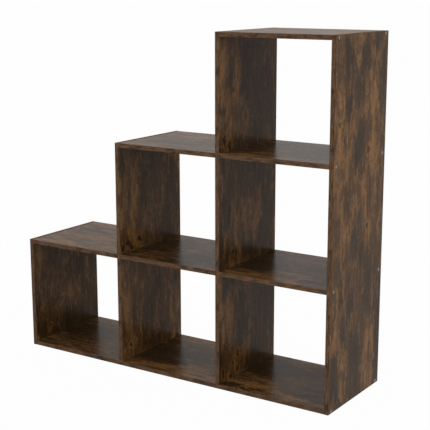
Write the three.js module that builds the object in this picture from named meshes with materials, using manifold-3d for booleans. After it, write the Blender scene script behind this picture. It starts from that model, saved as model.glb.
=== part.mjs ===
// Staircase bookshelf of laminated boards: three open columns, one, two and three compartments high.
// Millimetres, +Z up, the front towards -Y and the tall column towards +X.
// The origin is on the floor, below the middle of the whole shelf.

import * as THREE from "three";
import { mergeVertices } from "three/addons/utils/BufferGeometryUtils.js";
import Module from "manifold-3d";

const wasm = await Module();
wasm.setup();

// Boards
const compartmentWidth = 309;
const boardDepth = 282;
const boardThickness = 12;
const lowerRowHeight = 294;
const middleRowHeight = 294;
const upperRowHeight = 288;
const edgeRound = 0.8;
const edgeRoundSteps = 2;

// Countersunk screws with a cross recess
const screwLength = 40;
const screwDiameter = 4;
const screwHeadDiameter = 8;
const screwRimHeight = 0.3;
const screwTipLength = 4;
const screwHeadSink = 0.3;
const screwEdgeDistance = 15;
const recessSpan = 4.4;
const recessSlotWidth = 1;
const recessDepth = 1.8;
const recessTipSpan = 1.4;

// Wooden dowels with chamfered ends
const dowelLength = 25;
const dowelDiameter = 6;
const dowelChamfer = 0.8;
const dowelDepthInUpright = 8;
const dowelEdgeDistance = 64;

// Clearance round screws and dowels, and how far a cut runs past a face
const fitGap = 0.3;
const cutOverrun = 2;
const roundSides = 12;

// Uprights from left to right, and each column's boards from the lowest up
const uprightNames = ["left_side", "left_divider", "right_divider", "right_side"];
const columns = [
  { name: "left_column", boards: ["top"] },
  { name: "middle_column", boards: ["shelf", "top"] },
  { name: "right_column", boards: ["lower_shelf", "upper_shelf", "top"] },
];
const rowHeights = [lowerRowHeight, middleRowHeight, upperRowHeight];

const uprightPitch = compartmentWidth + boardThickness;
const totalWidth = columns.length * uprightPitch + boardThickness;
const lastUpright = uprightNames.length - 1;

const boardFinish = { color: 0x5d4a3a, roughness: 0.35, metalness: 0 };
const steelFinish = { color: 0xa9adb3, roughness: 0.3, metalness: 1 };
const dowelFinish = { color: 0xc9a878, roughness: 0.7, metalness: 0 };

// Middle of an upright's thickness, counted from the left
function uprightX(index) {
  return -totalWidth / 2 + boardThickness / 2 + index * uprightPitch;
}

// Underside of the board that closes the given number of rows; the bottom board closes none
function levelZ(rows) {
  return rowHeights.slice(0, rows).reduce((z, height) => z + height + boardThickness, 0);
}

// Rows that an upright spans: those of the taller column beside it
function uprightRows(index) {
  const beside = columns.slice(Math.max(index - 1, 0), index + 1);
  return Math.max(...beside.map((column) => column.boards.length));
}

function solidOf(geometry) {
  geometry.deleteAttribute("normal");
  geometry.deleteAttribute("uv");
  const merged = mergeVertices(geometry);
  return new wasm.Manifold(
    new wasm.Mesh({
      numProp: 3,
      vertProperties: merged.getAttribute("position").array,
      triVerts: new Uint32Array(merged.index.array),
    }),
  );
}

function geometryOf(solid) {
  const mesh = solid.getMesh();
  const geometry = new THREE.BufferGeometry();
  geometry.setAttribute("position", new THREE.BufferAttribute(mesh.vertProperties, 3));
  geometry.setIndex(new THREE.BufferAttribute(mesh.triVerts, 1));
  const faceted = geometry.toNonIndexed();
  faceted.computeVertexNormals();
  return faceted;
}

function meshOf(name, solid, finish) {
  const mesh = new THREE.Mesh(geometryOf(solid), new THREE.MeshStandardMaterial(finish));
  mesh.name = name;
  return mesh;
}

// Closed solid of revolution about +Y from outline points [radius, distance along the axis]
function turnedSolid(points) {
  const outline = points.map(([radius, along]) => new THREE.Vector2(radius, along));
  return solidOf(new THREE.LatheGeometry(outline, roundSides));
}

// Moves a geometry whose +Y runs along the axis to a place in the shelf
function alongAxis(geometry, place, axis) {
  const turn = new THREE.Quaternion().setFromUnitVectors(new THREE.Vector3(0, 1, 0), axis);
  return geometry.applyQuaternion(turn).translate(place.x, place.y, place.z);
}

// Board section across its length: depth by thickness, with eased arrises
function boardSection() {
  const x = boardDepth / 2 - edgeRound;
  const y = boardThickness / 2 - edgeRound;
  const section = new THREE.Shape();
  section.absarc(x, y, edgeRound, 0, Math.PI / 2);
  section.absarc(-x, y, edgeRound, Math.PI / 2, Math.PI);
  section.absarc(-x, -y, edgeRound, Math.PI, (3 * Math.PI) / 2);
  section.absarc(x, -y, edgeRound, (3 * Math.PI) / 2, 2 * Math.PI);
  return section;
}

function boardGeometry(length) {
  return new THREE.ExtrudeGeometry(boardSection(), {
    depth: length,
    bevelEnabled: false,
    steps: 1,
    curveSegments: edgeRoundSteps,
  });
}

// Level board from one X to another, with its underside at the given height
function levelBoard(name, fromX, toX, undersideZ) {
  const geometry = boardGeometry(toX - fromX);
  geometry.applyMatrix4(
    new THREE.Matrix4().makeBasis(
      new THREE.Vector3(0, 1, 0),
      new THREE.Vector3(0, 0, 1),
      new THREE.Vector3(1, 0, 0),
    ),
  );
  geometry.translate(fromX, 0, undersideZ + boardThickness / 2);
  return { name, solid: solidOf(geometry) };
}

// Upright board from one height to another, centred on the given X
function uprightBoard(name, x, fromZ, toZ) {
  const geometry = boardGeometry(toZ - fromZ);
  geometry.rotateZ(Math.PI / 2);
  geometry.translate(x, 0, fromZ);
  return { name, solid: solidOf(geometry) };
}

function uprights() {
  return uprightNames.map((name, index) => {
    const standsOnFloor = index === 0 || index === lastUpright;
    const fromZ = standsOnFloor ? 0 : boardThickness;
    return uprightBoard(name, uprightX(index), fromZ, levelZ(uprightRows(index)) + boardThickness);
  });
}

function bottomBoard() {
  const fromX = uprightX(0) + boardThickness / 2;
  const toX = uprightX(lastUpright) - boardThickness / 2;
  return levelBoard("bottom_board", fromX, toX, levelZ(0));
}

// The column's boards, one on top of each of its compartments
function columnBoards(column, index) {
  const fromX = uprightX(index) + boardThickness / 2;
  const toX = uprightX(index + 1) - boardThickness / 2;
  return column.boards.map((board, row) =>
    levelBoard(`${column.name}_${board}`, fromX, toX, levelZ(row + 1)),
  );
}

// Screw outline, from the middle of the head along the shank to the tip
function screwOutline() {
  const headRadius = screwHeadDiameter / 2;
  const shankRadius = screwDiameter / 2;
  const neck = screwRimHeight + headRadius - shankRadius;
  return [
    [0, 0],
    [headRadius, 0],
    [headRadius, screwRimHeight],
    [shankRadius, neck],
    [shankRadius, screwLength - screwTipLength],
    [0, screwLength],
  ];
}

// One blade of the cross recess, seen from its side, running past the head's face
function recessBlade() {
  const blade = new THREE.Shape();
  blade.moveTo(-recessSpan / 2, -cutOverrun);
  blade.lineTo(recessSpan / 2, -cutOverrun);
  blade.lineTo(recessSpan / 2, 0);
  blade.lineTo(recessTipSpan / 2, recessDepth);
  blade.lineTo(-recessTipSpan / 2, recessDepth);
  blade.lineTo(-recessSpan / 2, 0);
  const geometry = new THREE.ExtrudeGeometry(blade, {
    depth: recessSlotWidth,
    bevelEnabled: false,
    steps: 1,
  });
  return geometry.translate(0, 0, -recessSlotWidth / 2);
}

function screwSolid() {
  const recess = solidOf(recessBlade()).add(solidOf(recessBlade().rotateY(Math.PI / 2)));
  return turnedSolid(screwOutline()).subtract(recess);
}

// Hole for a screw: the screw grown by the fit gap, with its countersink open at the board's face
function screwHole() {
  const headRadius = screwHeadDiameter / 2 + fitGap;
  const shankRadius = screwDiameter / 2 + fitGap;
  const neck = screwRimHeight + headRadius - shankRadius;
  return turnedSolid([
    [0, -cutOverrun],
    [headRadius, -cutOverrun],
    [headRadius, screwRimHeight],
    [shankRadius, neck],
    [shankRadius, screwLength - screwTipLength + fitGap],
    [0, screwLength + fitGap],
  ]);
}

// Dowel centred on its own length
function dowelSolid() {
  const radius = dowelDiameter / 2;
  const end = dowelLength / 2;
  return turnedSolid([
    [0, -end],
    [radius - dowelChamfer, -end],
    [radius, dowelChamfer - end],
    [radius, end - dowelChamfer],
    [radius - dowelChamfer, end],
    [0, end],
  ]);
}

function dowelHole() {
  const radius = dowelDiameter / 2 + fitGap;
  const end = dowelLength / 2 + fitGap;
  return turnedSolid([
    [0, -end],
    [radius, -end],
    [radius, end],
    [0, end],
  ]);
}

// A pair of places at the same distance from the front and the rear edge
function frontAndRear(edgeDistance) {
  const y = boardDepth / 2 - edgeDistance;
  return [
    { side: "front", y: -y },
    { side: "rear", y },
  ];
}

// Screw pair through an upright's outer face into a level board's end
function endScrews(upright, facing, board, undersideZ) {
  const axis = new THREE.Vector3(facing, 0, 0);
  const faceX = uprightX(upright) - (facing * boardThickness) / 2;
  return frontAndRear(screwEdgeDistance).map(({ side, y }) => ({
    name: `screw_${uprightNames[upright]}_${board}_${side}`,
    place: new THREE.Vector3(faceX + facing * screwHeadSink, y, undersideZ + boardThickness / 2),
    axis,
    boards: [uprightNames[upright], board],
  }));
}

// Screw pair from below, through the bottom board into the foot of a divider
function footScrews(upright) {
  return frontAndRear(screwEdgeDistance).map(({ side, y }) => ({
    name: `screw_bottom_board_${uprightNames[upright]}_${side}`,
    place: new THREE.Vector3(uprightX(upright), y, screwHeadSink),
    axis: new THREE.Vector3(0, 0, 1),
    boards: ["bottom_board", uprightNames[upright]],
  }));
}

// Dowel pair between a level board's right end and the divider beside it
function endDowels(upright, board, undersideZ) {
  const faceX = uprightX(upright) - boardThickness / 2;
  const middleX = faceX + dowelDepthInUpright - dowelLength / 2;
  return frontAndRear(dowelEdgeDistance).map(({ side, y }) => ({
    name: `dowel_${uprightNames[upright]}_${board}_${side}`,
    place: new THREE.Vector3(middleX, y, undersideZ + boardThickness / 2),
    axis: new THREE.Vector3(1, 0, 0),
    boards: [uprightNames[upright], board],
  }));
}

// Every level board is screwed at its left end; the right end is screwed only from the right side
function allScrews() {
  const screws = [
    ...endScrews(0, 1, "bottom_board", levelZ(0)),
    ...endScrews(lastUpright, -1, "bottom_board", levelZ(0)),
  ];
  for (let divider = 1; divider < lastUpright; divider += 1) {
    screws.push(...footScrews(divider));
  }
  columns.forEach((column, index) => {
    column.boards.forEach((board, row) => {
      const name = `${column.name}_${board}`;
      screws.push(...endScrews(index, 1, name, levelZ(row + 1)));
      if (index + 1 === lastUpright) {
        screws.push(...endScrews(lastUpright, -1, name, levelZ(row + 1)));
      }
    });
  });
  return screws;
}

function allDowels() {
  return columns.slice(0, -1).flatMap((column, index) =>
    column.boards.flatMap((board, row) =>
      endDowels(index + 1, `${column.name}_${board}`, levelZ(row + 1)),
    ),
  );
}

// A solid modelled along +Y, turned and moved to where the fastener sits
function placed(solid, fastener) {
  return solidOf(alongAxis(geometryOf(solid), fastener.place, fastener.axis));
}

function drill(boards, fasteners, hole) {
  for (const fastener of fasteners) {
    const cut = placed(hole, fastener);
    for (const board of boards.filter(({ name }) => fastener.boards.includes(name))) {
      board.solid = board.solid.subtract(cut);
    }
  }
}

function staircaseBookshelf() {
  const shelf = new THREE.Group();
  const boards = [...uprights(), bottomBoard(), ...columns.flatMap(columnBoards)];
  const screws = allScrews();
  const dowels = allDowels();
  drill(boards, screws, screwHole());
  drill(boards, dowels, dowelHole());
  boards.forEach(({ name, solid }) => shelf.add(meshOf(name, solid, boardFinish)));
  const screw = screwSolid();
  screws.forEach((fastener) =>
    shelf.add(meshOf(fastener.name, placed(screw, fastener), steelFinish)),
  );
  const dowel = dowelSolid();
  dowels.forEach((fastener) =>
    shelf.add(meshOf(fastener.name, placed(dowel, fastener), dowelFinish)),
  );
  return shelf;
}

const group = staircaseBookshelf();
export default group;
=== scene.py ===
import math

import bmesh
import bpy
import numpy as np
from mathutils import Matrix, Vector


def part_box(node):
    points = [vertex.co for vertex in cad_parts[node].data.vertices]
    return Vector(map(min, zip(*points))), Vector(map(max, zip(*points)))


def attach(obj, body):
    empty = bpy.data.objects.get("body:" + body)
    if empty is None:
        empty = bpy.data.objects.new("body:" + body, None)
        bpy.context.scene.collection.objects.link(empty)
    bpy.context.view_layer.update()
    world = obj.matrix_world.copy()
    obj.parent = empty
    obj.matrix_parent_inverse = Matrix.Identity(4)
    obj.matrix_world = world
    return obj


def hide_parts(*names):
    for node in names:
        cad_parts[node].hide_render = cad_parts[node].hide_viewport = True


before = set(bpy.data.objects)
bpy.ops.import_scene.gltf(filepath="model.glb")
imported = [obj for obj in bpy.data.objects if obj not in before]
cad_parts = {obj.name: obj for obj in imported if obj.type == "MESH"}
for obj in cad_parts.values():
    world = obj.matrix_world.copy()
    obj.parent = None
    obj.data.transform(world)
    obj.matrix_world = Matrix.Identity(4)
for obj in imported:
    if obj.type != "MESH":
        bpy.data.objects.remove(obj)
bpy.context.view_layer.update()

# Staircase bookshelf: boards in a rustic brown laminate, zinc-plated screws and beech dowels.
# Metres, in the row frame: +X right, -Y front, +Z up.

MM = 0.001

# The photograph's view, from a camera fitted to the edges of the boards
PHOTO_WIDTH_PX = 430
FOCAL_PX = 1073.3
SENSOR_WIDTH_MM = 36
EYE = Vector((1626.1, -2354.9, 1043.4)) * MM
AZIMUTH_DEG = 33.611
ELEVATION_DEG = 12.27
ROLL_DEG = -0.086
CAMERA_CLIP_END = 50

# Studio
WORLD_STRENGTH = 0.70
FLOOR_HALF_WIDTH = 150
FLOOR_DROP = 0.5 * MM
FLOOR_WHITE_SHARE = 0.98
SOFTBOX_WIDTH = 2.4
SOFTBOX_TARGET = Vector((0, 0, 0.4))
SOFTBOXES = (
    ("key_softbox", (3.4, 0.3, 2.2), 20),
    ("fill_softbox", (1.7, -3.4, 1.6), 30),
)

UPRIGHTS = ("left_side", "left_divider", "right_divider", "right_side")
LEVEL_BOARDS = (
    "bottom_board",
    "left_column_top",
    "middle_column_shelf",
    "middle_column_top",
    "right_column_lower_shelf",
    "right_column_upper_shelf",
    "right_column_top",
)

# Boards
BAND_THICKNESS = 1.0 * MM
WELD_DISTANCE = 0.002 * MM
END_EASING = 0.25 * MM
END_EASING_STEPS = 2
EASED_OVER_DEG = 60
BOARD_SMOOTH_UNDER_DEG = 50
BROAD_SIDE_COSINE = 0.99
FRONT_OR_REAR_COSINE = 0.5

# Screws. The shank is a share of the head's radius, and the thread's core a share of the shank's
SHANK_SHARE = 0.5
THREAD_PITCH = 1.8 * MM
THREAD_RIDGE_SHARE = 0.5
THREAD_CORE_SHARE = 0.68
THREAD_START = 12 * MM
RINGS_PER_TURN = 6
HEAD_RIM = 0.3 * MM
HEAD_EDGE_ROUND = 0.15 * MM
TIP_LENGTH = 4 * MM
SLOT_HALF_WIDTH = 0.5 * MM
SLOT_HALF_SPAN = 2.2 * MM
SLOT_DEPTH = 1.8 * MM
SLOT_FLOOR_SHARE = 0.45
SCREW_SMOOTH_UNDER_DEG = 35
SCREW_TURN_SEED = 5
SMALLEST = 1e-6

# Levels of the grain space: each side of each board has its own, so that no two share their print
NO_SIDE_LEVEL = 0
BOARD_LEVEL_STEP = 10
SIDE_LEVELS = ((1, 2), (3, 4), (5, 6))
MARK_LEVEL_REACH = 0.3
NOISE_LEVEL_SHIFT = 0.43

# Noises. Sizes in metres: along the grain, across it and between levels, or along X, Y and Z
SWAY = {"sizes": (0.22, 0.09, 1), "detail": 2}
FRAY_ALONG = {"sizes": (0.050, 0.012, 1), "detail": 3, "roughness": 0.6}
FRAY_ACROSS = {"sizes": (0.030, 0.020, 7), "detail": 3, "roughness": 0.6}
CLOUDS = {"sizes": (0.065, 0.032, 1), "detail": 5, "roughness": 0.6}
REGIONS = {"sizes": (0.30, 0.13, 1), "detail": 1}
LUMPS = {"sizes": (0.011, 0.006, 1), "detail": 2, "roughness": 0.6}
SWAYING_NOISES = {
    "fibres": {"sizes": (0.030, 0.0011, 1), "detail": 3, "roughness": 0.7},
    "streaks": {"sizes": (0.042, 0.0040, 1), "detail": 5, "roughness": 0.75},
    "bands": {"sizes": (0.12, 0.012, 1), "detail": 5, "roughness": 0.65},
    "tones": {"sizes": (0.065, 0.028, 1), "detail": 5, "roughness": 0.65},
    "grit": {"sizes": (0.0060, 0.0020, 1), "detail": 2, "roughness": 0.7},
    "blush": {"sizes": (0.014, 0.0032, 1), "detail": 3, "roughness": 0.65},
    "specks": {"sizes": (0.011, 0.0017, 1), "detail": 1},
}
BAND_STREAKS = {"sizes": (0.030, 0.0022, 1), "detail": 4, "roughness": 0.7}
BAND_PATCHES = {"sizes": (0.035, 0.02, 1), "detail": 4, "roughness": 0.65}
CORE_CHIPS = {"sizes": (0.0022, 0.0012, 0.0008), "detail": 3}
ZINC_CLOUDING = {"sizes": (0.003, 0.003, 0.003), "detail": 3}
BEECH_FLECK = {"sizes": (0.012, 0.0007, 0.0007), "detail": 3}

# How far the print sways and its patches fray
SWAY_REACH = 7 * MM
FRAY_REACH_ALONG = 110 * MM
FRAY_REACH_ACROSS = 36 * MM

# Tones of the print: where each starts, and how far each noise swings it
DARK_START = 0.30
DARK_SWINGS = {"clouds": 2.4, "regions": 0.8, "streaks": 1.6, "fibres": 0.7}
WARM_START = 0.47
WARM_SWINGS = {"bands": 0.9, "streaks": 0.6, "tones": 2.2}
SMOKE_START = 0.5
SMOKE_SWINGS = {"bands": 1.2, "streaks": 1.0}
GRAIN_START = 1.0
GRAIN_SWINGS = {"fibres": 1.5, "bands": 0.9, "grit": 2.4}
MOTTLE_SWINGS = {"lumps": 0.8}
BLUSH_BY_CHANNEL = (0.5, -0.4, -0.4)
LIGHT_WARMTH = 0.5
FLUSH_CLEARING = -0.8

# Most that these cover of what lies under them
SPECK_SHARE = 0.7
GLEAM_SHARE = 0.8
STAIN_SHARE = 0.70

# Where one colour or roughness gives way to the next
DARK_RANGE = (0.32, 0.90)
MID_RANGE = (0.40, 0.60)
WARM_RANGE = (0.32, 1.00)
SMOKE_RANGE = (0.38, 0.75)
SPECK_RANGE = (0.64, 0.74)
GLEAM_RANGE = (0.44, 0.60)
SCORCH_RANGE = (0.54, 0.64)
STAIN_RANGE = (0.48, 0.64)
FLECK_RANGE = (0.35, 0.65)
ROUGHNESS_RANGE = (0.3, 0.7)

# Knots: those strewn over all boards, and the distances in half sizes between which each is drawn
KNOT_SPACING = (0.26, 0.17)
KNOT_LEVEL_SHIFTS = (7.31, 3.17)
KNOT_CHANCE = (0.55, 1.0)
KNOT_SIZES = (0.004, 0.075)
KNOTS_CLEARED = 10
KNOT_SWINGS = {"streaks": 0.8, "lumps": 2.4}
HALO_REACH = (2.8, 1.0)
HALO_RINGS = 5.0
HALO_STRENGTH = 0.10
GOLDEN_REACH = (1.9, 1.3)
KNOT_REACH = (1.15, 0.8)
KNOT_RINGS = 16.0
KNOT_DEPTH = 0.90
KNOT_DEPTH_SWINGS = {"rings": 0.10, "streaks": 0.5}


def srgb(red, green, blue):
    """Linear colour from the 0 to 255 values that a screen shows."""
    def linear(value):
        share = value / 255
        return share / 12.92 if share <= 0.04045 else ((share + 0.055) / 1.055) ** 2.4
    return (linear(red), linear(green), linear(blue), 1)


# Colours
WHITE = (1, 1, 1, 1)
FLOOR_GREY = (0.58, 0.58, 0.58, 1)
CHARCOAL = srgb(55, 38, 19)
UMBER = srgb(61, 45, 27)
RED_BROWN = srgb(78, 53, 31)
MID_BROWN = srgb(96, 68, 39)
WARM_BROWN = srgb(128, 90, 49)
SPECK_BROWN = srgb(34, 26, 19)
KNOT_DARK = srgb(30, 22, 15)
KNOT_GOLD = srgb(140, 98, 48)
BAND_DARK = srgb(63, 48, 36)
BAND_LIGHT = srgb(122, 91, 66)
BAND_STAIN = srgb(52, 40, 31)
CORE_DARK = srgb(150, 116, 78)
CORE_LIGHT = srgb(196, 164, 120)
ZINC_DARK = srgb(118, 116, 114)
ZINC_LIGHT = srgb(146, 144, 142)
BEECH_DARK = srgb(186, 148, 100)
BEECH_LIGHT = srgb(216, 182, 136)

# Gloss. The laminate's and the bands' is all in the coat
LAMINATE_ROUGHNESS = (0.5, 0.42)
ZINC_ROUGHNESS = (0.30, 0.42)
COAT_IOR = 1.29
COAT_WEIGHT = 0.48
COAT_ROUGHNESS = 0.26
BAND_COAT_WEIGHT = 0.32
END_COAT_WEIGHT = 0.20
BAND_COAT_ROUGHNESS = 0.35

# Dark patches, light patches, golden flushes and knots of the printed wood on the sides that show.
# Some of the dark patches are not print but painted shade, at the feet of compartments, under
# boards and at shelf ends; these are marked below.
# In mm: middle along the grain, middle across it, half length, half width; then the strength,
# which a knot doesn't have.
PRINTED_MARKS = {
    "right_side": {
        "darks_and_painted_shade": (
            (864, -74, 44, 21, 1.0),
            (862, 24, 36, 24, 0.9),
            (897, 72, 22, 22, 0.6),
            (791, -12, 46, 32, 0.72),
            (747, -61, 36, 20, 0.85),
            (672, 2, 36, 28, 1.25),
            (634, -14, 42, 30, 1.15),
            (587, 16, 20, 15, 1.0),
            (587, -91, 30, 11, 0.35),
            (504, -68, 24, 18, 0.9),
            (544, 59, 30, 14, 0.9),
            (408, -24, 40, 26, 0.95),
            (372, 18, 40, 22, 0.95),
            (340, 60, 50, 50, 0.75),
            (320, -32, 36, 56, 0.65),
            (271, -84, 18, 10, 0.85),
            (262, -28, 36, 20, 0.95),
            (228, 72, 60, 34, 0.95),
            (197, -68, 30, 16, 0.65),
            (70, -120, 60, 24, 0.95),
            (108, -4, 52, 30, 1.1),
            (820, 124, 110, 20, 1.0),
            (145, 124, 140, 28, 1.1),
            (630, 126, 90, 18, 0.5),
            (285, 24, 24, 24, 0.5),
            (30, 10, 46, 28, 0.75),
            (180, -32, 36, 26, 0.5),
            (478, 4, 30, 20, 0.65),
            (671, -34, 24, 16, 0.6),
            (22, -100, 24, 44, 0.6),
            (900, -78, 20, 22, 0.8),
            (315, -2, 44, 26, 0.65),
            # Painted shade: a broad, faint darkening of the lower part of the side, where less
            # light falls.
            (120, 20, 190, 150, 0.25),
        ),
        "lights": (
            (470, 0, 900, 400, 0.05),
            (722, -26, 30, 17, 0.8),
            (715, 58, 130, 26, 0.6),
            (640, -111, 110, 26, 0.35),
            (650, -72, 60, 22, 0.6),
            (562, -4, 42, 44, 0.4),
            (525, -112, 60, 28, 0.55),
            (450, 70, 40, 24, 0.4),
            (433, -85, 30, 30, 0.4),
            (323, -124, 24, 20, 0.4),
            (165, 80, 50, 20, 0.3),
            (170, -122, 26, 24, 0.4),
            (271, -61, 22, 12, 0.3),
            (510, 39, 55, 7, 0.6),
            (100, 76, 84, 28, 0.65),
            (90, -72, 60, 20, 0.35),
            (897, -21, 34, 12, 0.6),
        ),
        "knots": (
            (636, 42, 11, 9),
            (714, -114, 7, 6),
            (444, 49, 8, 6),
        ),
    },
    "right_divider": {
        "darks_and_painted_shade": (
            (810, -86, 34, 14, 1.2),
            (825, -28, 90, 16, 0.8),
            (780, 62, 170, 78, 0.8),
            (770, 124, 170, 24, 0.9),
            (470, 128, 120, 16, 0.8),
            # Painted shade at the foot of the top compartment, just above its shelf.
            (639, 2, 24, 26, 0.6),
            (512, -5, 120, 150, 0.55),
            (539, -94, 32, 16, 0.8),
            (525, 46, 36, 26, 0.7),
            (450, 99, 160, 36, 0.9),
            (334, -128, 16, 12, 0.8),
            (165, -31, 64, 24, 0.75),
            (252, -121, 26, 15, 0.75),
            (150, 92, 130, 50, 0.85),
            (60, 80, 60, 60, 0.8),
            # Painted shade at the foot of the middle compartment, just above its shelf.
            (350, -60, 24, 80, 0.45),
            (62, -130, 60, 12, 1.1),
            # Painted shade at the foot of the lowest compartment, just above the bottom board.
            (36, 4, 30, 36, 0.65),
            (728, -122, 22, 16, 0.4),
            # Painted shade just under the top board.
            (892, -120, 22, 20, 0.5),
            # Painted shade at the foot of the middle compartment, just above its shelf.
            (342, 4, 20, 28, 0.9),
            (350, -130, 44, 12, 1.0),
            (380, -84, 20, 18, 0.35),
            (586, -118, 24, 24, 0.6),
            (280, -100, 18, 40, 0.65),
        ),
        "lights": (
            (818, -120, 48, 20, 0.8),
            (800, -114, 90, 16, 0.3),
            (812, -60, 46, 13, 0.7),
            (679, -101, 32, 16, 0.3),
            (705, -14, 42, 34, 0.5),
            (472, -30, 44, 34, 0.45),
            (439, 9, 42, 42, 0.6),
            (435, -61, 50, 12, 0.6),
            (192, -101, 62, 30, 0.4),
            (66, -14, 26, 30, 0.2),
            (690, 38, 24, 24, 0.3),
            (340, -78, 16, 18, 0.4),
            (36, -80, 24, 20, 0.4),
            (780, 0, 500, 400, 0.10),
        ),
        "flushes": (
            (634, -105, 13, 8, 0.9),
            (652, -84, 16, 6, 0.7),
            (346, -45, 22, 5, 0.8),
            (28, -86, 13, 7, 0.9),
            (46, -60, 9, 7, 0.6),
            (20, -106, 10, 8, 0.6),
            (54, -94, 10, 7, 0.5),
        ),
        "knots": (
            (654, -117, 13, 10),
            (638, -92, 12, 5),
            (632, -134, 8, 5),
            (357, -74, 7, 5),
            (18, -87, 8, 7),
            (36, -122, 12, 7),
            (30, -52, 10, 8),
            (75, -50, 12, 6),
            (52, -74, 5, 4),
        ),
    },
    "left_divider": {
        "darks_and_painted_shade": (
            (500, -34, 74, 18, 0.8),
            (513, 37, 88, 72, 0.6),
            # Painted shade just under the top board.
            (590, -30, 16, 110, 0.6),
            (430, 98, 115, 26, 0.85),
            (412, 20, 46, 50, 0.45),
            (378, 80, 64, 50, 0.9),
            (568, -124, 26, 14, 0.7),
            (152, -85, 35, 16, 0.9),
            (141, -13, 64, 38, 0.8),
            (202, 42, 28, 22, 0.7),
            (90, 60, 60, 30, 0.6),
            (190, 84, 40, 44, 0.35),
            # Painted shade at the foot of the upper compartment, just above its shelf.
            (336, -60, 20, 90, 0.4),
            # Painted shade at the foot of the lower compartment, just above the bottom board.
            (36, 0, 32, 50, 0.75),
            (118, -122, 24, 14, 0.4),
        ),
        "lights": (
            (113, 90, 62, 11, 0.4),
            (205, -119, 62, 16, 0.55),
            (124, -58, 50, 9, 0.3),
            (342, -78, 18, 24, 0.5),
            (480, -80, 44, 24, 0.25),
            (56, -80, 36, 22, 0.15),
            (400, 0, 700, 400, 0.10),
        ),
        "flushes": (
            (326, -110, 12, 7, 0.9),
            (341, -92, 14, 6, 0.9),
            (325, -137, 8, 5, 0.7),
            (38, -128, 18, 8, 0.6),
        ),
        "knots": (
            (337, -130, 12, 6),
            (343, -104, 10, 8),
            (326, -88, 8, 9),
            (346, -58, 7, 6),
            (342, -49, 5, 5),
            (50, -101, 7, 5),
            (38, -116, 5, 4),
        ),
    },
    "left_side": {
        "darks_and_painted_shade": (
            # Partly printed clouding, partly painted shade darkening the whole inner face of the
            # left column.
            (186, -15, 170, 160, 0.65),
            (202, 55, 38, 25, 1.0),
            (242, -69, 32, 26, 0.85),
            (202, -105, 32, 17, 0.8),
            # Painted shade in the rear corner at the foot.
            (82, 103, 72, 30, 0.8),
            # Painted shade along the foot of the inner face, just above the bottom board.
            (34, 30, 54, 130, 1.1),
            (52, -120, 34, 22, 1.0),
            (80, -90, 22, 22, 0.4),
        ),
        "lights": (
            (254, -117, 24, 14, 0.25),
            (128, 4, 40, 36, 0.6),
            (150, -46, 40, 30, 0.3),
            (222, 0, 34, 24, 0.45),
            (74, -45, 60, 10, 0.3),
        ),
        "flushes": (
            (52, -88, 18, 5, 0.6),
            (24, -82, 10, 6, 0.5),
            (72, -122, 16, 4, 0.4),
        ),
        "knots": (
            (46, -76, 6, 4),
        ),
    },
    "bottom_board": {
        "darks_and_painted_shade": (
            # Painted shade at the left end of the right bay, next to the right divider.
            (205, 56, 50, 74, 1.05),
            (410, -50, 50, 40, 0.4),
            (450, -118, 28, 16, 0.75),
            (320, 70, 80, 50, 0.7),
            (-112, -20, 70, 50, 1.4),
            (-24, -64, 26, 15, 0.95),
            (-11, 30, 60, 50, 0.5),
            (-405, 14, 70, 60, 1.0),
            (-350, -19, 42, 30, 0.7),
            # Painted shade at the left end of the middle bay, next to the left divider.
            (-136, 60, 26, 70, 0.8),
            (-452, -120, 26, 18, 0.5),
            (-335, -80, 30, 22, 0.45),
            # Painted shade in the rear corner of the left bay, next to the left side.
            (-452, 78, 22, 34, 0.6),
        ),
        "lights": (
            (218, -104, 62, 26, 1.0),
            (222, -52, 40, 26, 0.5),
            (340, -112, 40, 22, 0.5),
            (92, -112, 46, 24, 0.75),
            (20, -69, 28, 14, 0.5),
            (-20, -112, 36, 22, 0.4),
            (-455, -44, 20, 20, 0.35),
        ),
        "flushes": (
            (222, -112, 44, 20, 0.9),
            (-110, -112, 34, 14, 0.15),
        ),
        "knots": (
            (190, -124, 32, 17),
            (230, -127, 10, 7),
            (249, -131, 11, 7),
            (264, -118, 24, 6),
        ),
    },
    "left_column_top": {
        "darks_and_painted_shade": (
            (-400, 41, 52, 18, 0.6),
            (-350, 28, 40, 16, 0.6),
            (-212, 10, 34, 30, 0.5),
        ),
        "lights": (
            (-375, -99, 42, 16, 0.5),
            (-450, -115, 26, 20, 0.5),
            (-245, -117, 44, 18, 0.5),
            (-300, -20, 90, 22, 0.25),
            (-320, 0, 400, 400, 0.18),
        ),
    },
    "middle_column_shelf": {
        "darks_and_painted_shade": (
            (-118, 56, 56, 66, 0.75),
            (-110, -122, 60, 18, 0.35),
            (60, -30, 60, 50, 0.40),
            (-20, -100, 60, 40, 0.4),
            # Painted shade at the left end, next to the left divider: this dark and the next.
            (-134, -80, 20, 50, 0.6),
            (-134, 80, 22, 40, 0.8),
            (-56, 4, 36, 30, 0.45),
        ),
        "lights": (
            (10, 8, 30, 12, 0.4),
        ),
    },
    "middle_column_top": {
        "darks_and_painted_shade": (
            (-35, -49, 72, 30, 0.6),
            (40, -20, 60, 18, 0.5),
        ),
        "lights": (
            (-90, 80, 80, 40, 0.35),
            (77, -89, 52, 16, 0.35),
        ),
    },
    "right_column_lower_shelf": {
        "darks_and_painted_shade": (
            (215, -16, 60, 50, 1.1),
            # Painted shade at the left end, next to the right divider.
            (190, 40, 28, 100, 1.1),
            (425, -100, 52, 18, 0.75),
            (400, 40, 62, 50, 0.55),
        ),
        "lights": (
            (294, -116, 60, 22, 0.8),
            (350, -82, 52, 22, 0.45),
        ),
        "flushes": (
            (215, -118, 34, 12, 0.25),
        ),
    },
    "right_column_upper_shelf": {
        "darks_and_painted_shade": (
            # Painted shade at the left end, next to the right divider.
            (215, 60, 52, 74, 0.6),
            (300, 85, 60, 44, 0.5),
            (380, 20, 90, 110, 0.40),
            (210, -24, 36, 30, 0.85),
        ),
        "lights": (
            (280, -116, 76, 24, 0.65),
            (400, -120, 90, 18, 0.5),
        ),
    },
}


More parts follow.
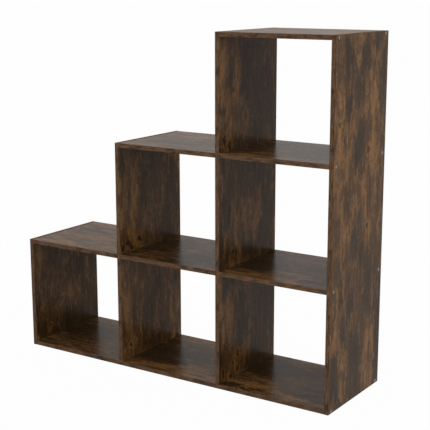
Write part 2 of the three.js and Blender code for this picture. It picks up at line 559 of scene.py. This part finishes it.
class Shader:
    """The node tree of a material or of the world, with a short call for each kind of node."""

    def __init__(self, owner):
        owner.use_nodes = True
        self.owner = owner
        self.tree = owner.node_tree
        self.tree.nodes.clear()

    def put(self, socket, value):
        if isinstance(value, bpy.types.NodeSocket):
            self.tree.links.new(value, socket)
        else:
            socket.default_value = value

    def node(self, kind, inputs=None, **settings):
        node = self.tree.nodes.new(kind)
        for key, value in settings.items():
            setattr(node, key, value)
        for key, value in (inputs or {}).items():
            self.put(node.inputs[key], value)
        return node

    def math(self, operation, first, second=0.0, third=0.0):
        node = self.node("ShaderNodeMath", {0: first, 1: second, 2: third}, operation=operation)
        return node.outputs[0]

    def vector_math(self, operation, *vectors):
        return self.node("ShaderNodeVectorMath", dict(enumerate(vectors)), operation=operation)

    def total(self, *values):
        result = values[0]
        for value in values[1:]:
            result = self.math("ADD", result, value)
        return result

    def swing(self, noise, gain):
        """A noise between 0 and 1 as a swing either way from nothing."""
        return self.math("MULTIPLY_ADD", noise, gain, -gain / 2)

    def swings(self, start, noises, gains):
        """A start value plus the swings of the noises that have a gain."""
        return self.total(*(self.swing(noises[name], gain) for name, gain in gains.items()), start)

    def shifted(self, vector, offset, axis):
        """The vector with an amount added along one of its directions."""
        parts = {name: 0.0 for name in "XYZ"}
        parts[axis] = offset
        push = self.node("ShaderNodeCombineXYZ", parts).outputs[0]
        return self.vector_math("ADD", vector, push).outputs[0]

    def noise(self, vector, sizes, detail, roughness=0.5):
        """Noise whose lumps have the given sizes, one for each direction of the vector."""
        scale = tuple(1 / size for size in sizes)
        inputs = {
            "Vector": self.vector_math("MULTIPLY", vector, scale).outputs[0],
            "Scale": 1.0,
            "Detail": detail,
            "Roughness": roughness,
        }
        return self.node("ShaderNodeTexNoise", inputs).outputs["Fac"]

    def between(self, value, low, high, to_low=0.0, to_high=1.0):
        """The value taken smoothly from one range to another."""
        inputs = {
            "Value": value, "From Min": low, "From Max": high, "To Min": to_low, "To Max": to_high,
        }
        node = self.node("ShaderNodeMapRange", inputs, interpolation_type="SMOOTHSTEP")
        return node.outputs["Result"]

    def mix(self, share, first, second, blend="MIX"):
        inputs = {0: share, 6: first, 7: second}
        return self.node("ShaderNodeMix", inputs, data_type="RGBA", blend_type=blend).outputs[2]

    def bump(self, height, strength, distance):
        inputs = {"Height": height, "Strength": strength, "Distance": distance}
        return self.node("ShaderNodeBump", inputs).outputs[0]

    def finish(self, colour, roughness, normal=None, **sockets):
        inputs = {"Base Color": colour, "Roughness": roughness}
        inputs.update({key.replace("_", " "): value for key, value in sockets.items()})
        if normal is not None:
            inputs["Normal"] = normal
        shader = self.node("ShaderNodeBsdfPrincipled", inputs)
        self.node("ShaderNodeOutputMaterial", {"Surface": shader.outputs[0]})
        return self.owner


def material_shader(name):
    return Shader(bpy.data.materials.new(name))


def grain_coordinates(shader):
    """Place on the board: X along the grain, Y across it, Z the level of the board's side."""
    return shader.node("ShaderNodeAttribute", attribute_name="grain").outputs["Vector"]


def object_coordinates(shader):
    return shader.node("ShaderNodeTexCoord").outputs["Object"]


def reach_from(shader, place, spot, level):
    """Distance from the middle of a placed mark, in half sizes of the mark."""
    along, across, half_length, half_width = spot
    scale = (1 / (half_length * MM), 1 / (half_width * MM), 1 / MARK_LEVEL_REACH)
    offset = (-along * MM * scale[0], -across * MM * scale[1], -level * scale[2])
    local = shader.vector_math("MULTIPLY_ADD", place, scale, offset).outputs[0]
    return shader.vector_math("LENGTH", local).outputs["Value"]


def patch_field(shader, place, patches, level):
    """Strength of the placed patches: full in a patch's middle, nothing at twice its size."""
    field = 0.0
    for *spot, strength in patches:
        reach = reach_from(shader, place, spot, level)
        patch = shader.math("MULTIPLY_ADD", reach, -strength / 2, strength)
        field = shader.math("MAXIMUM", field, patch)
    return field


def strewn_knots(shader, place, level):
    """Distance from the nearest strewn knot in its half sizes. The side at the level has none."""
    parts = shader.node("ShaderNodeSeparateXYZ", {0: place}).outputs
    cell = []
    for axis, spacing, shift in zip("XY", KNOT_SPACING, KNOT_LEVEL_SHIFTS):
        steps = shader.math("MULTIPLY_ADD", parts[axis], 1 / spacing, 0.5)
        cell.append(shader.math("MULTIPLY_ADD", parts["Z"], shift, steps))
    cell = shader.node("ShaderNodeCombineXYZ", {0: cell[0], 1: cell[1]}).outputs[0]
    inputs = {"Vector": cell, "Scale": 1.0}
    strewn = shader.node("ShaderNodeTexVoronoi", inputs, voronoi_dimensions="2D").outputs
    chance = shader.node("ShaderNodeSeparateColor", {0: strewn["Color"]}).outputs[0]
    size = shader.between(chance, *KNOT_CHANCE, *KNOT_SIZES)
    reach = shader.math("DIVIDE", strewn["Distance"], size)
    on_marked_side = shader.math("COMPARE", parts["Z"], level, MARK_LEVEL_REACH)
    return shader.math("MULTIPLY_ADD", on_marked_side, KNOTS_CLEARED, reach)


def knot_distance(shader, place, noises, knots, level):
    """Distance from the nearest knot in half sizes of it, made uneven by noise."""
    reach = strewn_knots(shader, place, level)
    for spot in knots:
        reach = shader.math("MINIMUM", reach, reach_from(shader, place, spot, level))
    return shader.swings(reach, noises, KNOT_SWINGS)


def frayed(shader, place, drawn):
    """The place pushed about by noise read at another place, for marks with uneven outlines."""
    along = shader.noise(drawn, **FRAY_ALONG)
    across = shader.noise(drawn, **FRAY_ACROSS)
    moved = shader.shifted(place, shader.swing(along, FRAY_REACH_ALONG), "X")
    return shader.shifted(moved, shader.swing(across, FRAY_REACH_ACROSS), "Y")


def print_noises(shader, drawn):
    """The noises of the printed wood by name."""
    bent = shader.shifted(drawn, shader.swing(shader.noise(drawn, **SWAY), SWAY_REACH), "Y")
    noises = {name: shader.noise(bent, **settings) for name, settings in SWAYING_NOISES.items()}
    noises["clouds"] = shader.noise(frayed(shader, bent, bent), **CLOUDS)
    noises["regions"] = shader.noise(drawn, **REGIONS)
    noises["lumps"] = shader.noise(drawn, **LUMPS)
    return noises


def halo_rings(shader, knot):
    """Faint rings in the grain around the knots."""
    rings = shader.math("SINE", shader.math("MULTIPLY", knot, HALO_RINGS))
    return shader.math("MULTIPLY", rings, shader.between(knot, *HALO_REACH, 0, HALO_STRENGTH))


def wood_tones(shader, noises, halo, darks_and_painted_shade, lights, flush):
    """Brown wood with charcoal clouds, before the fine grain. The placed dark patches give both
    printed darks and painted shade.
    """
    dark = shader.total(shader.swings(DARK_START, noises, DARK_SWINGS), darks_and_painted_shade)
    dark = shader.math("SUBTRACT", dark, lights)
    dark = shader.total(dark, shader.math("MULTIPLY", flush, FLUSH_CLEARING))
    brown = shader.mix(shader.between(noises["tones"], *MID_RANGE), RED_BROWN, MID_BROWN)
    warm = shader.math("MULTIPLY_ADD", lights, LIGHT_WARMTH, WARM_START)
    warm = shader.total(shader.swings(warm, noises, WARM_SWINGS), halo)
    brown = shader.mix(shader.between(warm, *WARM_RANGE), brown, WARM_BROWN)
    smoke = shader.swings(SMOKE_START, noises, SMOKE_SWINGS)
    smoke = shader.mix(shader.between(smoke, *SMOKE_RANGE), CHARCOAL, UMBER)
    return shader.mix(shader.between(dark, *DARK_RANGE), brown, smoke)


def fine_grain(shader, colour, noises, halo):
    """The colour with its fibres, its reddish blush and its dark specks."""
    grain = shader.total(shader.swings(GRAIN_START, noises, GRAIN_SWINGS), halo)
    blush = shader.swing(noises["blush"], 1.0)
    channels = {
        index: shader.math("MULTIPLY_ADD", blush, share, grain)
        for index, share in enumerate(BLUSH_BY_CHANNEL)
    }
    tint = shader.node("ShaderNodeCombineColor", channels).outputs[0]
    colour = shader.mix(1.0, colour, tint, "MULTIPLY")
    specks = shader.between(noises["specks"], *SPECK_RANGE, 0, SPECK_SHARE)
    return shader.mix(specks, colour, SPECK_BROWN)


def knots_drawn(shader, colour, noises, knot, flush):
    """The colour with golden rims and flushes, scorched flecks in the flushes, and dark knots."""
    golden = shader.math("MAXIMUM", shader.between(knot, *GOLDEN_REACH), flush)
    mottle = shader.swings(noises["streaks"], noises, MOTTLE_SWINGS)
    gleam = shader.math("MULTIPLY", golden, shader.between(mottle, *GLEAM_RANGE))
    colour = shader.mix(shader.math("MULTIPLY", gleam, GLEAM_SHARE), colour, KNOT_GOLD)
    scorch = shader.math("MULTIPLY", flush, shader.between(noises["lumps"], *SCORCH_RANGE))
    colour = shader.mix(scorch, colour, KNOT_DARK)
    rings = shader.math("SINE", shader.math("MULTIPLY", knot, KNOT_RINGS))
    depth = shader.swings(KNOT_DEPTH, noises | {"rings": rings}, KNOT_DEPTH_SWINGS)
    return shader.mix(shader.between(knot, *KNOT_REACH, 0, depth), colour, KNOT_DARK)


def laminate_material(name, marks, level):
    """Printed wood, with the marks of one side of a board at that side's level. Some dark marks
    are painted shade rather than print.
    """
    shader = material_shader(name)
    place = grain_coordinates(shader)
    drawn = shader.shifted(place, NOISE_LEVEL_SHIFT, "Z")
    noises = print_noises(shader, drawn)
    outline = frayed(shader, place, drawn)
    darks_and_painted_shade, lights, flush = (
        patch_field(shader, outline, marks.get(kind, ()), level)
        for kind in ("darks_and_painted_shade", "lights", "flushes")
    )
    knot = knot_distance(shader, place, noises, marks.get("knots", ()), level)
    halo = halo_rings(shader, knot)
    colour = wood_tones(shader, noises, halo, darks_and_painted_shade, lights, flush)
    colour = fine_grain(shader, colour, noises, halo)
    colour = knots_drawn(shader, colour, noises, knot, flush)
    fibres = noises["fibres"]
    return shader.finish(
        colour,
        roughness=shader.between(fibres, *ROUGHNESS_RANGE, *LAMINATE_ROUGHNESS),
        normal=shader.bump(fibres, strength=0.10, distance=0.08 * MM),
        Specular_IOR_Level=0.0,
        Coat_Weight=COAT_WEIGHT,
        Coat_IOR=COAT_IOR,
        Coat_Roughness=COAT_ROUGHNESS,
    )


def band_material(name, coat_weight):
    shader = material_shader(name)
    place = grain_coordinates(shader)
    streaks = shader.noise(place, **BAND_STREAKS)
    patches = shader.noise(place, **BAND_PATCHES)
    colour = shader.mix(shader.between(streaks, *FLECK_RANGE), BAND_DARK, BAND_LIGHT)
    stains = shader.between(patches, *STAIN_RANGE, 0, STAIN_SHARE)
    return shader.finish(
        shader.mix(stains, colour, BAND_STAIN),
        roughness=0.5,
        normal=shader.bump(streaks, strength=0.1, distance=0.05 * MM),
        Specular_IOR_Level=0.0,
        Coat_Weight=coat_weight,
        Coat_IOR=COAT_IOR,
        Coat_Roughness=BAND_COAT_ROUGHNESS,
    )


def flecked_material(name, fleck, dark, light, roughness, bump_strength, bump_distance):
    """Plain material whose colour and surface follow one noise."""
    shader = material_shader(name)
    noise = shader.noise(object_coordinates(shader), **fleck)
    colour = shader.mix(shader.between(noise, *FLECK_RANGE), dark, light)
    return shader.finish(colour, roughness, shader.bump(noise, bump_strength, bump_distance))


def screw_material():
    shader = material_shader("zinc_plated_steel")
    clouding = shader.noise(object_coordinates(shader), **ZINC_CLOUDING)
    colour = shader.mix(clouding, ZINC_DARK, ZINC_LIGHT)
    roughness = shader.between(clouding, *ROUGHNESS_RANGE, *ZINC_ROUGHNESS)
    return shader.finish(colour, roughness, Metallic=1.0)


# Finishes of a board, in the order of its material slots
LAMINATE, BAND, END_BAND, CORE = range(4)


def face_kind(centre, normal, low, high, upright):
    """Which finish a board's face has, from where it lies."""
    if centre.y < low.y + BAND_THICKNESS or centre.y > high.y - BAND_THICKNESS:
        return BAND
    if upright and centre.z > high.z - BAND_THICKNESS:
        return END_BAND
    through = normal.x if upright else normal.z
    return LAMINATE if abs(through) > BROAD_SIDE_COSINE else CORE


def side_level(board, normal):
    """Level in the grain space that belongs to one side of one board."""
    axis = max(range(3), key=lambda index: abs(normal[index]))
    return BOARD_LEVEL_STEP * board + SIDE_LEVELS[axis][normal[axis] < 0]


def grain_place(point, normal, kind, upright, board):
    """Grain coordinates of a corner: along, across, and the level of its side.

    The grain runs along the board, and from front to rear on the band of a top end.
    """
    along, through = (point.z, point.x) if upright else (point.x, point.z)
    level = side_level(board, normal)
    if kind == END_BAND and abs(normal.y) < FRONT_OR_REAR_COSINE:
        return (point.y, through, level)
    if kind in (BAND, END_BAND):
        return (along, through, level)
    return (along, point.y, level)


def parted_mesh(name, index):
    """The board's own mesh, with its faces parted into laminate, edge bands and core."""
    upright = name in UPRIGHTS
    low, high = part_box(name)
    mesh = bmesh.new()
    mesh.from_mesh(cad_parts[name].data)
    bmesh.ops.remove_doubles(mesh, verts=mesh.verts, dist=WELD_DISTANCE)
    cuts = [
        (Vector((0, low.y + BAND_THICKNESS, 0)), Vector((0, 1, 0))),
        (Vector((0, high.y - BAND_THICKNESS, 0)), Vector((0, 1, 0))),
    ]
    if upright:
        cuts.append((Vector((0, 0, high.z - BAND_THICKNESS)), Vector((0, 0, 1))))
    for place, normal in cuts:
        everything = mesh.verts[:] + mesh.edges[:] + mesh.faces[:]
        bmesh.ops.bisect_plane(mesh, geom=everything, plane_co=place, plane_no=normal)
    mesh.normal_update()
    grain = mesh.loops.layers.float_vector.new("grain")
    for face in mesh.faces:
        kind = face_kind(face.calc_center_median(), face.normal, low, high, upright)
        face.material_index = kind
        for loop in face.loops:
            loop[grain] = grain_place(loop.vert.co, face.normal, kind, upright, index)
    return finished_mesh(mesh, name + "_dressed", BOARD_SMOOTH_UNDER_DEG)


def finished_mesh(mesh, name, smooth_under_deg):
    """Mesh data with smooth shading except over sharp edges."""
    for face in mesh.faces:
        face.smooth = True
    for edge in mesh.edges:
        edge.smooth = edge.calc_face_angle(0) < math.radians(smooth_under_deg)
    data = bpy.data.meshes.new(name)
    mesh.to_mesh(data)
    mesh.free()
    return data


def placed(name, data):
    """A new object in the scene."""
    thing = bpy.data.objects.new(name, data)
    bpy.context.scene.collection.objects.link(thing)
    return thing


def dressed_board(name, index, finishes):
    data = parted_mesh(name, index)
    if "custom_normal" in data.attributes:
        data.attributes.remove(data.attributes["custom_normal"])
    for finish in finishes:
        data.materials.append(finish)
    board = placed(name + "_dressed", data)
    easing = board.modifiers.new("eased_ends", "BEVEL")
    easing.width = END_EASING
    easing.segments = END_EASING_STEPS
    easing.limit_method = "ANGLE"
    easing.angle_limit = math.radians(EASED_OVER_DEG)
    easing.use_clamp_overlap = True
    flat = board.modifiers.new("flat_faces", "WEIGHTED_NORMAL")
    flat.keep_sharp = True
    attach(board, "root")
    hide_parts(name)


def dress_boards():
    plain = laminate_material("rustic_laminate", {}, NO_SIDE_LEVEL)
    edges = (
        band_material("rustic_edge_band", BAND_COAT_WEIGHT),
        band_material("rustic_end_band", END_COAT_WEIGHT),
        flecked_material(
            "particle_core", CORE_CHIPS, CORE_DARK, CORE_LIGHT,
            roughness=0.85, bump_strength=0.4, bump_distance=0.3 * MM,
        ),
    )
    for index, name in enumerate(UPRIGHTS + LEVEL_BOARDS):
        laminate = plain
        if name in PRINTED_MARKS:
            marked_side = Vector((1, 0, 0)) if name in UPRIGHTS else Vector((0, 0, 1))
            level = side_level(index, marked_side)
            laminate = laminate_material("rustic_laminate_" + name, PRINTED_MARKS[name], level)
        dressed_board(name, index, (laminate,) + edges)


def recess_radius(angle):
    """Distance from the middle of a screw head to the edge of its cross recess."""
    c, s = max(abs(math.cos(angle)), SMALLEST), max(abs(math.sin(angle)), SMALLEST)
    wide = min(SLOT_HALF_SPAN / c, SLOT_HALF_WIDTH / s)
    tall = min(SLOT_HALF_WIDTH / c, SLOT_HALF_SPAN / s)
    return max(wide, tall)


def screw_angles():
    """Angles round a screw that meet every corner of the cross recess."""
    tip = math.atan2(SLOT_HALF_WIDTH, SLOT_HALF_SPAN)
    quarter = math.pi / 2
    first = (0, tip / 2, tip, (tip + quarter / 2) / 2)
    shares = first + (quarter / 2,) + tuple(quarter - angle for angle in reversed(first[1:]))
    return [turn * quarter + angle for turn in range(4) for angle in shares]


def thread_radius(angle, along, shank, length):
    """Radius of the threaded shank: a ridge that climbs once round in each pitch."""
    core = shank * THREAD_CORE_SHARE
    if along < THREAD_START:
        return core
    phase = (along / THREAD_PITCH - angle / (2 * math.pi)) % 1
    ridge = max(0.0, 1 - abs(phase - 0.5) * 2 / THREAD_RIDGE_SHARE)
    taper = min(1.0, (length - along) / TIP_LENGTH)
    return (core + (shank - core) * ridge) * taper


def screw_rings(angles, length, head, shank):
    """Rings from the floor of the recess to the tip: place along the screw, and radii."""
    core = shank * THREAD_CORE_SHARE
    around = len(angles)
    rings = [
        (SLOT_DEPTH, [recess_radius(a) * SLOT_FLOOR_SHARE for a in angles]),
        (0, [recess_radius(a) for a in angles]),
        (0, [head - HEAD_EDGE_ROUND] * around),
        (HEAD_EDGE_ROUND, [head] * around),
        (HEAD_RIM, [head] * around),
        (HEAD_RIM + head - core, [core] * around),
    ]
    step = THREAD_PITCH / RINGS_PER_TURN
    for index in range(int((length - THREAD_START) / step)):
        along = THREAD_START + index * step
        rings.append((along, [thread_radius(a, along, shank, length) for a in angles]))
    return rings


def screw_mesh(length, head, shank, finish):
    """Countersunk screw along +Z, its head's flat face at the origin."""
    angles = screw_angles()
    mesh = bmesh.new()
    rows = []
    for along, radii in screw_rings(angles, length, head, shank):
        row = [
            mesh.verts.new((r * math.cos(a), r * math.sin(a), along))
            for a, r in zip(angles, radii)
        ]
        rows.append(row)
    floor = mesh.verts.new((0, 0, SLOT_DEPTH))
    tip = mesh.verts.new((0, 0, length))
    steps = [(index, (index + 1) % len(angles)) for index in range(len(angles))]
    for near, far in zip(rows, rows[1:]):
        for index, after in steps:
            mesh.faces.new((near[index], far[index], far[after], near[after]))
    for index, after in steps:
        mesh.faces.new((floor, rows[0][index], rows[0][after]))
        mesh.faces.new((tip, rows[-1][after], rows[-1][index]))
    bmesh.ops.recalc_face_normals(mesh, faces=mesh.faces)
    data = finished_mesh(mesh, "countersunk_screw", SCREW_SMOOTH_UNDER_DEG)
    data.materials.append(finish)
    return data


def head_and_axis(name):
    """Middle of a screw's head face, the direction in which it is driven, and its size."""
    low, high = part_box(name)
    size = high - low
    axis = max(range(3), key=lambda index: size[index])
    middle = (low + high) / 2
    ends = {}
    for end in (low[axis], high[axis]):
        reach = 0
        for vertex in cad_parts[name].data.vertices:
            offset = vertex.co - middle
            if abs(vertex.co[axis] - end) < HEAD_RIM / 2:
                offset[axis] = 0
                reach = max(reach, offset.length)
        ends[end] = reach
    head_end = max(ends, key=ends.get)
    place = middle.copy()
    place[axis] = head_end
    direction = Vector((0, 0, 0))
    direction[axis] = 1 if head_end == low[axis] else -1
    return place, direction, size


def place_screws(finish):
    names = sorted(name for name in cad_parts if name.startswith("screw_"))
    _, _, size = head_and_axis(names[0])
    length, head = max(size), min(size) / 2
    data = screw_mesh(length, head, head * SHANK_SHARE, finish)
    turns = np.random.default_rng(SCREW_TURN_SEED).uniform(0, math.pi / 2, len(names))
    for name, turn in zip(names, turns):
        place, direction, _ = head_and_axis(name)
        screw = placed(name + "_dressed", data)
        aim = Vector((0, 0, 1)).rotation_difference(direction).to_matrix().to_4x4()
        screw.matrix_world = Matrix.Translation(place) @ aim @ Matrix.Rotation(turn, 4, "Z")
        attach(screw, "root")
        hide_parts(name)


def dress_dowels():
    finish = flecked_material(
        "beech_dowel", BEECH_FLECK, BEECH_DARK, BEECH_LIGHT,
        roughness=0.65, bump_strength=0.2, bump_distance=0.1 * MM,
    )
    for name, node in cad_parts.items():
        if name.startswith("dowel_"):
            node.data.materials.clear()
            node.data.materials.append(finish)


def seen_directly(shader):
    """One on rays from the camera, also by way of gloss or glass, and nothing on other light."""
    rays = shader.node("ShaderNodeLightPath").outputs
    seen = shader.math("MAXIMUM", rays["Is Camera Ray"], rays["Is Glossy Ray"])
    return shader.math("MAXIMUM", seen, rays["Is Transmission Ray"])


def floor_material():
    """Matt floor that the camera and mirror rays see mostly white, with a soft shadow left."""
    shader = material_shader("studio_floor")
    share = shader.math("MULTIPLY", seen_directly(shader), FLOOR_WHITE_SHARE)
    matt = shader.node("ShaderNodeBsdfDiffuse", {"Color": FLOOR_GREY})
    glow = shader.node("ShaderNodeEmission", {"Color": WHITE, "Strength": 1.0})
    mixed = shader.node("ShaderNodeMixShader", {0: share, 1: matt.outputs[0], 2: glow.outputs[0]})
    shader.node("ShaderNodeOutputMaterial", {"Surface": mixed.outputs[0]})
    return shader.owner


def make_floor():
    mesh = bmesh.new()
    bmesh.ops.create_grid(mesh, x_segments=1, y_segments=1, size=FLOOR_HALF_WIDTH)
    data = bpy.data.meshes.new("studio_floor")
    mesh.to_mesh(data)
    mesh.free()
    data.materials.append(floor_material())
    floor = placed("studio_floor", data)
    floor.location = (0, 0, -FLOOR_DROP)


def make_world():
    """Even light from all round, which the camera sees as white."""
    shader = Shader(bpy.data.worlds.new("studio"))
    seen = seen_directly(shader)
    light = shader.node("ShaderNodeBackground", {"Color": WHITE, "Strength": WORLD_STRENGTH})
    white = shader.node("ShaderNodeBackground", {"Color": WHITE, "Strength": 1.0})
    mixed = shader.node("ShaderNodeMixShader", {0: seen, 1: light.outputs[0], 2: white.outputs[0]})
    shader.node("ShaderNodeOutputWorld", {"Surface": mixed.outputs[0]})
    bpy.context.scene.world = shader.owner


def add_softbox(name, place, watts):
    lamp = bpy.data.lights.new(name, "AREA")
    lamp.shape = "SQUARE"
    lamp.size = SOFTBOX_WIDTH
    lamp.energy = watts
    box = placed(name, lamp)
    box.location = place
    box.rotation_euler = (SOFTBOX_TARGET - Vector(place)).to_track_quat("-Z", "Y").to_euler()
    box.visible_glossy = False


def make_camera():
    azimuth, elevation, roll = (
        math.radians(angle) for angle in (AZIMUTH_DEG, ELEVATION_DEG, ROLL_DEG)
    )
    camera = bpy.data.cameras.new("photo_camera")
    camera.sensor_width = SENSOR_WIDTH_MM
    camera.lens = FOCAL_PX / PHOTO_WIDTH_PX * SENSOR_WIDTH_MM
    camera.clip_end = CAMERA_CLIP_END
    view = placed("photo_camera", camera)
    turn = Matrix.Rotation(azimuth, 4, "Z") @ Matrix.Rotation(math.pi / 2 - elevation, 4, "X")
    view.matrix_world = Matrix.Translation(EYE) @ turn @ Matrix.Rotation(roll, 4, "Z")
    bpy.context.scene.camera = view


def main():
    make_camera()
    dress_boards()
    place_screws(screw_material())
    dress_dowels()
    make_floor()
    make_world()
    for softbox in SOFTBOXES:
        add_softbox(*softbox)
    bpy.context.scene.view_settings.view_transform = "Standard"


main()
bpy.context.view_layer.update()
